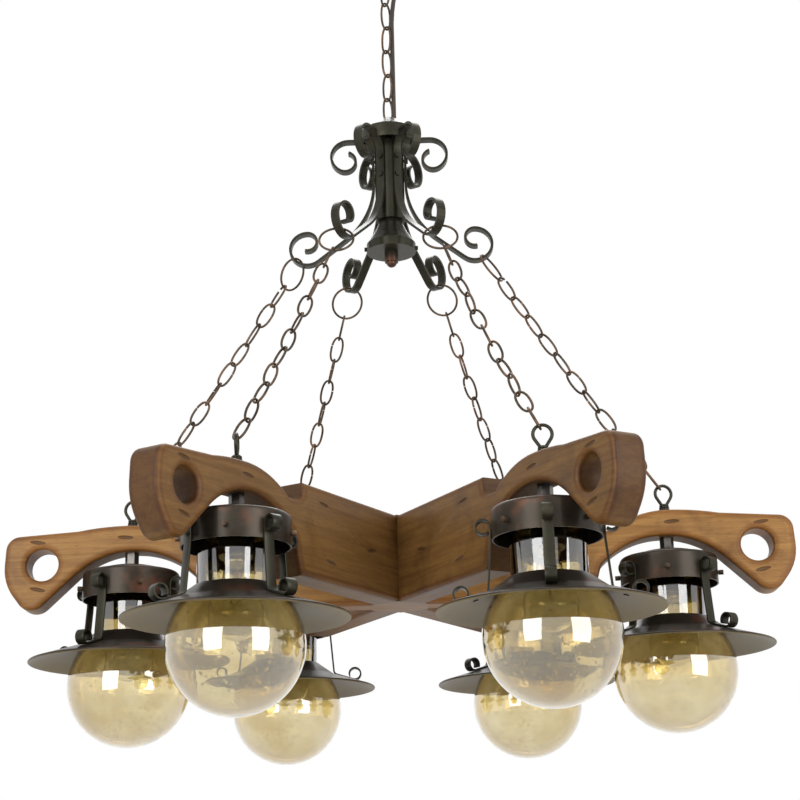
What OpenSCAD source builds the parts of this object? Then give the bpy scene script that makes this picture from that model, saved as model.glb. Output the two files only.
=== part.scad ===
// Six-armed wooden chandelier in the wagon wheel style, hung on chains,
// with a gas-lantern lamp under each arm.
// Origin: centre of the ceiling plate's top face. +Z is up, so everything hangs at z < 0.
// Arm 1 points along +X and the arms are numbered anticlockwise seen from above.

/* [Ceiling fitting] */
// Length of the ceiling plate
plate_len = 100; // [80:1:140]
// Width of the ceiling plate
plate_wid = 26; // [20:1:40]
// Thickness of the ceiling plate
plate_t = 3; // [2:0.5:5]
// Distance between the two ceiling screw holes
screw_spacing = 60; // [50:1:70]
// Diameter of the ceiling screw holes
screw_hole_d = 5; // [4:0.5:6.5]
// Depth of the hook's seat below the ceiling, to the middle of its wire
hook_seat = 51; // [44:1:70]
// Diameter of the hook's wire
hook_wire = 5; // [4:0.5:6]
// Radius of the hook's bowl, to the middle of its wire
hook_r = 10; // [9:0.5:12]
// Diameter of the canopy at the ceiling
canopy_d = 124; // [110:1:150]
// Depth of the canopy
canopy_h = 58; // [54:1:66]
// Diameter of the canopy's mouth
mouth_d = 50; // [46:1:60]
// Wall of the canopy
canopy_wall = 1.2; // [0.8:0.1:2]

/* [Chains] */
// Number of links between the hook and the hub
ceiling_links = 6; // [4:1:12]
// Distance from one link of the ceiling chain to the next
ceiling_pitch = 36.8; // [30:0.1:42]
// Outer width of a ceiling link
ceiling_link_w = 19; // [17:0.5:22]
// Number of links in each of the six chains
chain_links = 11; // [9:1:15]
// Distance from one link of the six chains to the next
chain_pitch = 31.4; // [29:0.1:36]
// Outer width of a link in the six chains
chain_link_w = 18; // [16:0.5:20]
// Diameter of the links' wire
wire = 3; // [2.4:0.1:3.4]
// Diameter of a strap ring, to the middle of its wire
ring_d = 43; // [40:0.5:50]
// Diameter of the supply cable
cable_d = 6; // [5:0.5:7]

/* [Hub] */
// Radius of the hub cap
cap_r = 40; // [36:1:44]
// Height of the hub cap's cone
cap_cone_h = 23; // [18:1:28]
// Height of the hub cap's skirt
cap_skirt_h = 16; // [14:1:20]
// Wall of the hub cap
cap_wall = 1.5; // [1:0.1:2.5]
// Diameter of the hole at the tip of the hub cap
cap_hole_d = 25; // [24:0.5:28]
// Outer radius of the hub's column
column_r = 19.5; // [17:0.5:22]
// Wall of the hub's column
column_wall = 2; // [1.5:0.1:3]
// Radius of the cup at the foot of the hub
cup_r = 32.5; // [28:0.5:38]
// Height of the cup at the foot of the hub
cup_h = 44; // [36:1:52]
// Length of the hub, from the tip of its cap to the underside of its cup
hub_len = 193; // [180:1:205]
// Width of the six scroll straps
strap_w = 11; // [9:0.5:13]
// Thickness of the six scroll straps
strap_t = 3.5; // [3:0.1:4.5]
// Reach of the lower scrolls, from the hub's axis to the middle of the scroll
scroll_reach = 111; // [100:1:125]
// Depth of the lower scrolls below the tip of the cap, to the middle of the scroll
scroll_drop = 185.8; // [175:0.1:200]
// Radius of the lower scrolls, to the middle of the strap
scroll_r = 22.75; // [21:0.25:26]
// Radius of the sweep from the column to the lower scroll
sweep_r = 102; // [80:1:120]

/* [Wheel] */
// Length of an arm, from the wheel's axis to its tip
arm_len = 492; // [480:1:520]
// Height of an arm at the wheel's centre
plank_h = 108; // [104:1:120]
// Thickness of an arm
arm_t = 40; // [34:1:46]
// Distance from the wheel's axis to a lamp's axis
lamp_reach = 335; // [325:1:345]
// Height of the arch over a lamp, from the bottom of the arm
arch_top = 77.3; // [72:0.1:82]
// Height of an arm over a lamp
brow_h = 110; // [108:0.5:116]
// Diameter of the round hole near an arm's tip
eye_hole_d = 40; // [30:1:44]
// Length of the tenon of an arm in the wheel's core
tenon_len = 12; // [8:1:15]
// Height of an arm's tenon
tenon_h = 60; // [40:1:80]
// Thickness of an arm's tenon
tenon_t = 14; // [10:1:18]
// Rise of the chain eyes above the arms, to the middle of the eye
eye_rise = 23.8; // [22:0.1:28]
// Radius of a chain eye, to the middle of its wire
eye_r = 10.5; // [9:0.5:12]
// Diameter of the chain eyes' wire
eye_wire = 4; // [3.5:0.5:5]
// Diameter of the threaded rods that go through the arms
rod_d = 10; // [8:0.5:12]

/* [Lamps] */
// Width across the flats of the hexagonal stem
stem_af = 15; // [14:0.5:19]
// Length of the hexagonal stem that shows between the arch and the lamp
stem_len = 15.3; // [12:0.1:25]
// Outer radius of the lamp cap
lampcap_r = 60; // [56:1:64]
// Height of the lamp cap's dome
lampcap_dome_h = 15; // [12:1:20]
// Height of the lamp cap's band
lampcap_band_h = 30; // [26:1:36]
// Wall of the lamp cap
lampcap_wall = 1.5; // [1:0.1:2.5]
// Outer diameter of the glass globe
globe_d = 150; // [145:1:154]
// Outer diameter of the globe's neck
neck_d = 84; // [78:1:85]
// Thickness of the glass
glass_t = 2.5; // [2:0.1:4]
// Height from the middle of the globe to the top of the lamp cap
lamp_h = 150; // [145:1:160]
// Outer radius of the shade's brim
brim_r = 123; // [115:1:130]
// Height of the brim's edge above the middle of the globe
brim_z = 29.5; // [24:0.5:34]
// Thickness of the shade's sheet
shade_t = 1.2; // [0.8:0.1:2]
// Width of the lamps' straps
lampstrap_w = 12; // [9:0.5:14]
// Thickness of the lamps' straps
lampstrap_t = 2; // [1.5:0.1:2.5]
// Radius of the curls on the lamps' straps, to the middle of the strap
curl_r = 8; // [7:0.5:10]
// Diameter of a bulb
bulb_d = 60; // [45:1:65]

/* [Hidden] */

$fn = 48;
// Gap left between pieces that touch, and between a screw or rod and its hole
gap = 0.3;
fit = 0.1;
// Allowance for cuts that run out of a solid
over = 1;
// A bent strip is made of short flats, no more than this many degrees and this many mm long
bend_step = 15;
bend_chord = 4.4;
arms = 6;
arm_step = 360 / arms;
// Turn of each lamp's straps about its stem, from the photograph
lamp_turns = [-54, -53, 1, -24, -49, -93];
// Turn of each chain eye about its rod, away from the line of its arm
eye_turns = [12, 40, 20, -14, 31, 58];
// Roll of each strap ring about its chain, and of the first link below it
ring_rolls = [64, 96, 88, 64, 116, 64];
link_rolls = [128, 28, 155, 128, 50, 134];
// How far each further link is turned past square with the one above
link_twists = [-5, -7, -3, -20.5, 4.5, -18];

// Ceiling fitting
stud_d = 4;
stud_x = 38;
nut_d = 12;
nut_h = 6;
step_z = 28;
shoulder_r = 18;
throat_r = 31;
hook_tip = 8;
// The links of the ceiling chain stand diagonally, seen from the front
chain_turn = 45;
block_w = 14;
block_h = 12;
block_hole_d = 4;

// Middle line of the supply cable, as [x, z], from the terminal block into the column
cable_sides = 10;
cable_in_x = 11;
cable_route = [
    [20, -21], [20, -36], [18, -50], [14, -66], [11, -82], [9, -98], [8, -115],
    [8, -132], [8, -149], [8, -166], [8, -183], [8, -200], [8, -217], [8, -234],
    [8, -250], [8, -264], [9, -278], [11, -292], [11, -306], [11, -320]
];

// Chains
link_l = chain_pitch + wire + gap;
top_link_z = -hook_seat + hook_wire / 2 + wire / 2 + gap;
hub_eye_z = top_link_z - ceiling_links * ceiling_pitch + (eye_wire - wire) / 2;

// Hub: its own zero is the tip of the cap's cone
hub_z = hub_eye_z + eye_wire / 2 + 0.85;
loop_r = 7.5;
loop_z = hub_eye_z - hub_z - loop_r;
cap_round = 5;
cap_tuck = 2;
cap_slope = 52;
column_top = -cap_cone_h - cap_skirt_h - 2;
cup_top = -hub_len + cup_h;
cup_neck_r = 15.5;
cup_band = 11;
cup_screw_d = 3;
flare = 0.5;
strap_r = column_r + gap + strap_t / 2;
bolt_d = 8;
collar_r = 19;
collar_h = 6;
finial_r = 9;
finial_h = 14;
knob_r = 7;
bolt_low = -hub_len - finial_h + 2;

// Scroll straps: the heights are those of the middle of the strap
top_bend_r = 24;
top_run = 9.5;
top_scroll_r = 22.75;
top_curl_r = 14.25;
curl_in_r = 12.5;
sweep_turn = 52;
strap_high = -54.6;
strap_low = -scroll_drop - scroll_r * sin(sweep_turn) + sweep_r * sin(sweep_turn)
    + (scroll_reach - scroll_r * cos(sweep_turn) - strap_r - sweep_r * (1 - cos(sweep_turn))) / tan(sweep_turn);
strap_screw_d = 4;
strap_screw_z = [strap_high - 6, strap_low + 8];
notch_top = strap_high + gap
    + sqrt(pow(top_bend_r + strap_t / 2, 2) - pow(strap_r + top_bend_r - cap_r, 2));

// Six chains: each runs straight from the middle of its scroll to its eye,
// and these are distances along it
ring_drop = 1.2;
ring_s = scroll_r - strap_t / 2 - wire / 2 - ring_drop - gap;
first_link_s = ring_s + ring_d - wire - gap;
eye_s = first_link_s + chain_links * chain_pitch - (eye_wire - wire) / 2;
scroll_z = hub_z - scroll_drop;
eye_z = scroll_z - sqrt(pow(eye_s + eye_r, 2) - pow(lamp_reach - scroll_reach, 2));

// Wheel: its own zero is the bottom of the arms at the centre
wheel_z = eye_z - eye_rise - brow_h;
core_r = arm_t;
core_face = core_r * cos(30);
arm_gap = 0.15;
arch_r = 107;
arch_back = 5;
heel_back = 92;
rod_in = 7;
eye_collar_d = 14;
eye_collar_h = 8;
eye_neck_d = 8;

// Lamps: each has its own zero at the middle of its globe
lamp_z = wheel_z + arch_top - stem_len - lamp_h;
globe_r = globe_d / 2;
neck_r = neck_d / 2;
lampcap_low = lamp_h - lampcap_dome_h - lampcap_band_h;
lampcap_round = 5;
dome_sag = 12;
neck_top = lampcap_low + 20;
lip_out = 4;
shade_hole_r = neck_r + 2.5;
shade_top_z = globe_r * sin(acos(shade_hole_r / globe_r)) + 2.8;
shade_knee_r = 68;
shade_knee_z = brim_z + 17;
brim_slope = atan((shade_knee_z - brim_z) / (brim_r - shade_knee_r));
screw_z = lampcap_low + 13;
rivet_z = lampcap_low + 5;
rivet_r = 80;
rivet_d = 3;
rivet_head = 1.5;
gallery_d = 3.5;
gallery_head_d = 6;
gallery_out = 6.5;
lamp_straps = 4;
leg_r = lampcap_r + gap + lampstrap_t / 2;
leg_low = lampcap_low - 2;
leg_top = lampcap_low + 15;
leg_bend = 12;
knee_bend = 6;
foot_start = 70;
foot_len = 24;
socket_r = 19;
socket_len = 46;
base_r = 13;
bulb_low = 5;
bulb_neck_z = 88;
bulb_base_top = 122;
nipple_d = rod_d;
nipple_in = 7;
lock_nut_af = 15;
lock_nut_h = 4;

iron = [0.20, 0.19, 0.16];
bronze = [0.27, 0.20, 0.17];
copper_iron = [0.38, 0.28, 0.21];
oak = [0.55, 0.38, 0.22];
amber = [0.80, 0.70, 0.45, 0.45];

// ---------- helpers ----------

// Places its children with +Z along a vector, rolled about it
module along(start, vector, roll = 0) {
    tilt = acos(vector[2] / norm(vector));
    turn = atan2(vector[1], vector[0]);
    translate(start)
        rotate([0, tilt, turn])
            rotate([0, 0, roll])
                children();
}

// Repeats its children round the Z axis
module around(count, first = 0) {
    for (i = [0 : count - 1])
        rotate([0, 0, first + i * 360 / count])
            children();
}

// Round hole or rod along Z, from one height to another
module rod(d, z0, z1) {
    translate([0, 0, z0])
        cylinder(d = d, h = z1 - z0);
}

// Hexagonal prism with two of its flats facing +Y and -Y
module hex_rod(across, z0, z1) {
    translate([0, 0, z0])
        cylinder(r = across / 2 / cos(30), h = z1 - z0, $fn = 6);
}

// Round wire bent along an arc in the XY plane, from angle a0 to a1
module wire_arc(r, d, a0, a1) {
    rotate([0, 0, a0])
        rotate_extrude(angle = a1 - a0)
            translate([r, 0])
                circle(d = d, $fn = 24);
}

// Full ring of round wire, standing in the XZ plane
module wire_ring(r, d) {
    rotate([90, 0, 0])
        rotate_extrude()
            translate([r, 0])
                circle(d = d, $fn = 24);
}

// Long link with round ends that stands in the XZ plane, with the top of its wire's
// middle line at z = 0. Its length and width run between the middles of the wire.
module chain_link(long, wide) {
    r = wide / 2;
    side = long - wide;
    translate([0, 0, -long / 2])
        rotate([90, 0, 0])
            around(2) {
                translate([0, side / 2, 0])
                    wire_arc(r, wire, 0, 180);
                translate([r, side / 2, 0])
                    rotate([90, 0, 0])
                        cylinder(d = wire, h = side, $fn = 24);
            }
}

// One side of a strip that starts at the origin along +X and follows its steps in the XY plane.
// A step is [length, 0] for a straight run, or [radius, turn] for a bend to the left or right.
function strip_side(steps, off, i = 0, at = [0, 0], way = 0) =
    let (left = [-sin(way), cos(way)])
    i == len(steps)
        ? [at + off * left]
        : steps[i][1] == 0
            ? concat(
                [at + off * left],
                strip_side(steps, off, i + 1, at + steps[i][0] * [cos(way), sin(way)], way))
            : let (r = steps[i][0],
                turn = steps[i][1],
                s = sign(turn),
                centre = at + s * r * left,
                n = ceil(abs(turn) * max(1 / bend_step, r * PI / 180 / bend_chord)))
            concat(
                [for (k = [0 : n - 1])
                    let (a = way + turn * k / n)
                    centre + (s * r - off) * [sin(a), -cos(a)]],
                strip_side(steps, off, i + 1, centre + s * r * [sin(way + turn), -cos(way + turn)], way + turn));

// Flat strip of a thickness and a width along its steps
module strip(steps, t, w) {
    near = strip_side(steps, -t / 2);
    far = strip_side(steps, t / 2);
    translate([0, 0, -w / 2])
        linear_extrude(height = w)
            polygon(concat(near, [for (k = [len(far) - 1 : -1 : 0]) far[k]]));
}

// Upright strip in the XZ plane that starts at a point [x, z], up (1) or down (-1)
module upright_strip(start, way, steps, t, w) {
    rotate([90, 0, 0])
        translate([start[0], start[1], 0])
            rotate([0, 0, way * 90])
                strip(steps, t, w);
}

function arc_points(cx, cy, r, a0, a1, steps) =
    [for (i = [0 : steps])
        let (a = a0 + (a1 - a0) * i / steps)
        [cx + r * cos(a), cy + r * sin(a)]];

// Ring of points round a cable that runs through [x, z] along [dx, dz]
function cable_ring(p, run, r) =
    [for (k = [0 : cable_sides - 1])
        let (a = k * 360 / cable_sides, d = run / norm(run))
        [p[0] - r * cos(a) * d[1], r * sin(a), p[1] + r * cos(a) * d[0]]];

// ---------- ceiling fitting ----------

module ceiling_plate() {
    color(bronze)
        difference() {
            union() {
                translate([-plate_len / 2, -plate_wid / 2, -plate_t])
                    cube([plate_len, plate_wid, plate_t]);
                ceiling_hook();
                for (s = [-1, 1])
                    translate([s * stud_x, 0, 0])
                        rod(stud_d, -step_z - nut_h, -plate_t / 2);
            }
            for (s = [-1, 1])
                translate([s * screw_spacing / 2, 0, 0])
                    rod(screw_hole_d, -plate_t - over, over);
        }
}

// Open hook welded under the plate: a straight shank, then half a turn, then a short tip
module ceiling_hook() {
    bowl_z = -hook_seat + hook_r;
    rotate([0, 0, chain_turn]) {
        translate([-hook_r, 0, 0])
            rod(hook_wire, bowl_z, -plate_t / 2);
        translate([0, 0, bowl_z])
            rotate([90, 0, 0])
                wire_arc(hook_r, hook_wire, 180, 360);
        translate([hook_r, 0, 0])
            rod(hook_wire, bowl_z, bowl_z + hook_tip);
    }
}

// Outline of the canopy's outside, or of its inside when drawn in by its wall
module canopy_outline(wall, top, low) {
    rim = canopy_d / 2;
    polygon(concat(
        [[0, top], [rim - wall, top]],
        arc_points(rim - shoulder_r, shoulder_r - step_z, shoulder_r - wall, 0, -90, 10),
        [[throat_r - wall, wall - step_z]],
        [[mouth_d / 2 + canopy_wall - wall, low], [0, low]]
    ));
}

module ceiling_canopy() {
    color(bronze)
        difference() {
            rotate_extrude()
                difference() {
                    canopy_outline(0, 0, -canopy_h);
                    canopy_outline(canopy_wall, over, -canopy_h - over);
                }
            for (s = [-1, 1])
                translate([s * stud_x, 0, 0])
                    rod(stud_d + 2 * fit, -step_z - over, -step_z + 2 * canopy_wall);
        }
}

module canopy_nuts() {
    color(bronze)
        for (s = [-1, 1])
            translate([s * stud_x, 0, 0])
                difference() {
                    rod(nut_d, -step_z - nut_h, -step_z);
                    rod(stud_d + 2 * fit, -step_z - nut_h - over, -step_z + over);
                }
}

// Connector at the top end of the cable, with its two clamping screws
module terminal_block() {
    color("ivory")
        translate([cable_route[0][0], 0, cable_route[0][1]])
            difference() {
                translate([-block_w / 2, -block_w / 2, 0])
                    cube([block_w, block_w, block_h]);
                for (s = [-1, 1])
                    translate([0, s * block_w / 4, 0])
                        rod(block_hole_d, block_h / 2, block_h + over);
            }
}

module supply_cable() {
    last = len(cable_route) - 1;
    rings = [for (i = [0 : last])
        let (run = cable_route[min(i + 1, last)] - cable_route[max(i - 1, 0)])
        each cable_ring(cable_route[i], (i == 0 || i == last) ? [0, -1] : run, cable_d / 2)];
    ends = [
        [for (k = [cable_sides - 1 : -1 : 0]) k],
        [for (k = [0 : cable_sides - 1]) last * cable_sides + k]
    ];
    sides = [for (i = [0 : last - 1], k = [0 : cable_sides - 1])
        let (n = (k + 1) % cable_sides)
        [i * cable_sides + k, i * cable_sides + n, (i + 1) * cable_sides + n, (i + 1) * cable_sides + k]];
    color(bronze)
        polyhedron(points = rings, faces = concat(ends, sides));
}

// ---------- chains ----------

// One link of the ceiling chain, counted from the hook
module ceiling_link(k) {
    translate([0, 0, top_link_z - k * ceiling_pitch])
        rotate([0, 0, (k % 2 == 0) ? chain_turn - 90 : chain_turn])
            chain_link(ceiling_pitch + wire + gap, ceiling_link_w - wire);
}

module top_link() {
    color(copper_iron)
        ceiling_link(0);
}

module ceiling_chain() {
    color(copper_iron)
        for (k = [1 : ceiling_links - 1])
            ceiling_link(k);
}

// Point on the middle line of an eye's wire where its chain pulls
function eye_seat(turn) =
    let (along_arm = (scroll_reach - lamp_reach) * cos(turn), rise = scroll_z - eye_z)
    [lamp_reach, 0, eye_z]
        + eye_r / norm([along_arm, rise]) * [along_arm * cos(turn), along_arm * sin(turn), rise];

// The six chains, each with the ring that hangs it on its scroll
module suspension_chains() {
    top = [scroll_reach, 0, scroll_z];
    color(copper_iron)
        for (i = [0 : arms - 1]) {
            up = top - eye_seat(eye_turns[i]);
            last_link_s = norm(up) + (wire + eye_wire) / 2 + gap - link_l;
            pitch = (last_link_s - first_link_s) / (chain_links - 1);
            rotate([0, 0, i * arm_step])
                along(top, up) {
                    rotate([0, 0, ring_rolls[i]])
                        translate([0, 0, -ring_s - ring_d / 2])
                            wire_ring(ring_d / 2, wire);
                    for (k = [0 : chain_links - 1])
                        translate([0, 0, -first_link_s - k * pitch])
                            rotate([0, 0, link_rolls[i] + k * (90 + link_twists[i])])
                                chain_link(link_l, chain_link_w - wire);
                }
        }
}

// ---------- hub ----------

module hub_cap() {
    skirt = -cap_cone_h - cap_skirt_h;
    color(iron)
        translate([0, 0, hub_z])
            difference() {
                rotate_extrude()
                    difference() {
                        cap_outline(0, 0, skirt);
                        cap_outline(cap_wall, 0, skirt - over);
                        translate([0, -cap_cone_h])
                            square([cap_hole_d / 2, cap_cone_h + over]);
                    }
                around(arms)
                    translate([0, -strap_w / 2 - gap, skirt - over])
                        cube([cap_r + over, strap_w + 2 * gap, notch_top - skirt + over]);
            }
}

// Outline of the cap: a cone, a rounded shoulder and a skirt whose edge is drawn in a little
module cap_outline(wall, top, low) {
    tip = cap_hole_d / 2;
    polygon(concat(
        [[0, top - wall], [tip, top - wall]],
        arc_points(cap_r - cap_round, -cap_cone_h, cap_round - wall, cap_slope, 0, 6),
        [[cap_r - wall, low + cap_round], [cap_r - wall - cap_tuck, low], [0, low]]
    ));
}

module hub_eye_bolt() {
    color(iron)
        translate([0, 0, hub_z]) {
            rotate([0, 0, chain_turn - 90])
                translate([0, 0, loop_z])
                    wire_ring(loop_r, eye_wire);
            rod(bolt_d, bolt_low, loop_z - loop_r + eye_wire / 4);
            difference() {
                rod(2 * collar_r, column_top, column_top + collar_h);
                translate([cable_in_x, 0, 0])
                    rod(cable_d + 2 * gap, column_top - over, column_top + collar_h + over);
            }
        }
}

// Tube closed by a disc at its foot, through which the eye bolt passes
module hub_column() {
    color(iron)
        translate([0, 0, hub_z])
            difference() {
                rod(2 * column_r, cup_top, column_top);
                rod(2 * (column_r - column_wall), cup_top + column_wall, column_top + over);
                rod(bolt_d + 2 * fit, cup_top - over, cup_top + column_wall + over);
                strap_screw_places()
                    rod(strap_screw_d + 2 * fit, 0, column_r);
            }
}

module hub_cup() {
    band = cup_top - cup_h + cup_band;
    color(bronze)
        translate([0, 0, hub_z])
            difference() {
                rotate_extrude()
                    difference() {
                        cup_outline(0, cup_top, band, -hub_len);
                        cup_outline(cap_wall, cup_top - cap_wall, band, -hub_len + cap_wall);
                    }
                rod(bolt_d + 2 * fit, -hub_len - over, cup_top + over);
                cup_screw_places()
                    rod(cup_screw_d + 2 * fit, 0, cup_r + over);
            }
}

// Bell that flares out to an upright band and is closed below
module cup_outline(wall, top, band, low) {
    polygon(concat(
        [[0, top]],
        [for (i = [0 : 8])
            let (s = i / 8)
            [cup_neck_r - wall + (cup_r - cup_neck_r) * (1 - cos(90 * s)) * flare + (cup_r - cup_neck_r) * (1 - flare) * s,
             top + (band - top) * s]],
        [[cup_r - wall, low], [0, low]]
    ));
}

module hub_finial() {
    color(bronze)
        translate([0, 0, hub_z])
            difference() {
                union() {
                    rod(2 * finial_r, -hub_len - finial_h, -hub_len);
                    translate([0, 0, -hub_len - finial_h])
                        intersection() {
                            sphere(r = knob_r);
                            rod(2 * knob_r, -knob_r, over);
                        }
                }
                rod(bolt_d + 2 * fit, bolt_low - gap, -hub_len + over);
            }
}

// Top scroll, straight run on the column and lower scroll of one strap
module scroll_strap() {
    start = [strap_r, (strap_low + strap_high) / 2];
    half = (strap_high - strap_low) / 2;
    run = (scroll_reach - scroll_r * cos(sweep_turn) - strap_r - sweep_r * (1 - cos(sweep_turn))) / sin(sweep_turn);
    upright_strip(start, 1, [
        [half, 0], [top_bend_r, -90], [top_run, 0], [top_scroll_r, -150], [top_curl_r, -190]
    ], strap_t, strap_w);
    upright_strip(start, -1, [
        [half, 0], [sweep_r, sweep_turn], [run, 0], [scroll_r, 270 - sweep_turn], [curl_in_r, 195]
    ], strap_t, strap_w);
}

module strap_screw_places() {
    around(arms)
        for (z = strap_screw_z)
            translate([0, 0, z])
                rotate([0, 90, 0])
                    children();
}

module cup_screw_places() {
    around(2)
        translate([0, 0, -hub_len + cup_band / 2])
            rotate([0, 90, 0])
                children();
}

module hub_scroll_straps() {
    color(iron)
        translate([0, 0, hub_z])
            difference() {
                around(arms)
                    scroll_strap();
                strap_screw_places()
                    rod(strap_screw_d + 2 * fit, 0, strap_r + strap_t);
            }
}

// Two screws through each strap into the column, and two through the band of the cup
module hub_screws() {
    color(copper_iron)
        translate([0, 0, hub_z]) {
            strap_screw_places() {
                rod(strap_screw_d, column_r - column_wall - over, strap_r + strap_t / 2 + over);
                rod(2 * strap_screw_d, strap_r + strap_t / 2, strap_r + strap_t / 2 + 2);
            }
            cup_screw_places() {
                rod(cup_screw_d, cup_r - cap_wall - over, cup_r + over);
                rod(2 * cup_screw_d, cup_r, cup_r + 3);
            }
        }
}

// ---------- wheel ----------

module wheel_core() {
    color(oak)
        translate([0, 0, wheel_z])
            rotate([0, 0, arm_step / 2])
                difference() {
                    cylinder(r = core_r, h = plank_h, $fn = 6);
                    rotate([0, 0, arm_step / 2])
                        around(arms)
                            translate([core_face - tenon_len - fit, -tenon_t / 2 - fit, (plank_h - tenon_h) / 2 - fit])
                                cube([tenon_len + over, tenon_t + 2 * fit, tenon_h + 2 * fit]);
                }
}

// Side view of an arm: the wheel's axis is at x = 0 and the bottom at y = 0
module arm_outline() {
    arch_x = lamp_reach - arch_back;
    arch_y = arch_top - arch_r;
    heel_x = arch_x - heel_back;
    brow_x = lamp_reach + 2;
    polygon(concat(
        [[core_face + arm_gap, 0], [heel_x, 0]],
        arc_points(arch_x, arch_y, arch_r, 138.4, 45, 22),
        arc_points(arm_len - 36, 26, 20, 225, 315, 8),
        arc_points(arm_len - 60.5, 60, 60, -37, 3, 6),
        arc_points(arm_len - 19.5, 81.5, 18, 5, 86, 8),
        arc_points(brow_x, brow_h - 350, 350, 79.6, 90, 4),
        arc_points(brow_x, brow_h - 127, 127, 90, 126.2, 9),
        arc_points(lamp_reach - 89, 96, 10, 270, 180, 5),
        [[lamp_reach - 101, plank_h], [core_face + arm_gap, plank_h]]
    ));
}

module wheel_arm(i) {
    color(oak)
        rotate([0, 0, (i - 1) * arm_step])
            translate([0, 0, wheel_z])
                difference() {
                    union() {
                        rotate([90, 0, 0])
                            linear_extrude(height = arm_t, center = true)
                                difference() {
                                    arm_outline();
                                    translate([arm_len - 48, 62.5])
                                        circle(d = eye_hole_d);
                                }
                        translate([core_face - tenon_len, -tenon_t / 2, (plank_h - tenon_h) / 2])
                            cube([tenon_len + over, tenon_t, tenon_h]);
                    }
                    translate([lamp_reach, 0, 0]) {
                        rod(rod_d + 2 * fit, 0, brow_h + over);
                        rod(stem_af / cos(30) + over, 0, arch_top);
                    }
                }
}

// Eye, collar and threaded rod through each arm
module arm_eye_bolts() {
    color(iron)
        for (i = [0 : arms - 1])
            rotate([0, 0, i * arm_step])
                translate([lamp_reach, 0, wheel_z]) {
                    translate([0, 0, brow_h + eye_rise])
                        rotate([0, 0, eye_turns[i]])
                            wire_ring(eye_r, eye_wire);
                    rod(rod_d, arch_top - rod_in, brow_h + over);
                    rod(eye_collar_d, brow_h, brow_h + eye_collar_h);
                    rod(eye_neck_d, brow_h + eye_collar_h - over, brow_h + eye_rise - eye_r);
                }
}

module lamp_stems() {
    color("dimgray")
        for (i = [0 : arms - 1])
            rotate([0, 0, i * arm_step])
                translate([lamp_reach, 0, wheel_z + arch_top])
                    difference() {
                        hex_rod(stem_af, gap - stem_len, 0);
                        rod(rod_d + 2 * fit, -stem_len, over);
                    }
}

// ---------- lamps ----------

// Places a part of lamp i, which is drawn with the middle of the globe at the origin
module at_lamp(i) {
    rotate([0, 0, (i - 1) * arm_step])
        translate([lamp_reach, 0, lamp_z])
            rotate([0, 0, lamp_turns[i - 1] - (i - 1) * arm_step])
                children();
}

// Bracket straps stand at 0, 90, 180 and 270 degrees of the lamp, and the gallery screws between them
module at_height(first, z) {
    around(lamp_straps, first)
        translate([0, 0, z])
            rotate([0, 90, 0])
                children();
}

module lampcap_outline(wall, low) {
    dome_edge = lampcap_r - lampcap_round;
    dome_r = (pow(dome_edge, 2) + pow(dome_sag, 2)) / (2 * dome_sag);
    edge_a = acos(dome_edge / dome_r);
    polygon(concat(
        [[0, lamp_h - wall]],
        arc_points(0, lamp_h - dome_r, dome_r - wall, 88, edge_a, 8),
        arc_points(dome_edge, lamp_h - lampcap_dome_h, lampcap_round - wall, 60, 0, 4),
        [[lampcap_r - wall, low], [0, low]]
    ));
}

module lamp_cap(i) {
    color(bronze)
        at_lamp(i)
            difference() {
                rotate_extrude()
                    difference() {
                        lampcap_outline(0, lampcap_low);
                        lampcap_outline(lampcap_wall, lampcap_low - over);
                    }
                rod(nipple_d + 2 * fit, lamp_h - 2 * lampcap_wall, lamp_h + over);
                at_height(45, screw_z)
                    rod(gallery_d + 2 * fit, 0, lampcap_r + over);
                at_height(0, rivet_z)
                    rod(rivet_d + 2 * fit, 0, lampcap_r + over);
            }
}

// One bracket strap: a curl above, the leg, a knee and a foot along the brim that ends in a curl
module lamp_strap() {
    foot_z = shade_knee_z - (foot_start - shade_knee_r) * tan(brim_slope) + (lampstrap_t / 2 + gap) / cos(brim_slope);
    knee_x = foot_start + knee_bend * sin(brim_slope) - leg_r - leg_bend;
    knee_y = foot_z + knee_bend * cos(brim_slope) - leg_low;
    lean = atan2(knee_y, knee_x) + acos((knee_bend - leg_bend) / norm([knee_x, knee_y]));
    shin = knee_x * sin(lean) - knee_y * cos(lean);
    upright_strip([leg_r, leg_low], 1, [
        [leg_top - leg_low, 0], [curl_r, -315]
    ], lampstrap_t, lampstrap_w);
    upright_strip([leg_r, leg_low], -1, [
        [leg_bend, lean], [shin, 0], [knee_bend, 90 - lean - brim_slope], [foot_len, 0], [curl_r, 310]
    ], lampstrap_t, lampstrap_w);
}

// The four bracket straps with their rivets, and the gallery screws that hold the glass
module lamp_ironwork(i) {
    brim_rivet_z = shade_knee_z - (rivet_r - shade_knee_r) * tan(brim_slope);
    color(iron)
        at_lamp(i) {
            around(lamp_straps) {
                lamp_strap();
                translate([rivet_r, 0, brim_rivet_z])
                    rotate([0, brim_slope, 0]) {
                        rod(rivet_d, -shade_t - rivet_head, over);
                        rod(2 * rivet_d, -shade_t - rivet_head, -shade_t - gap);
                    }
            }
            at_height(0, rivet_z)
                rod(rivet_d, lampcap_r - lampcap_wall - over, leg_r);
            at_height(45, screw_z) {
                rod(gallery_d, neck_r + gap, lampcap_r + gap + over);
                rod(gallery_head_d, lampcap_r + gap, lampcap_r + gallery_out);
            }
        }
}

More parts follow.
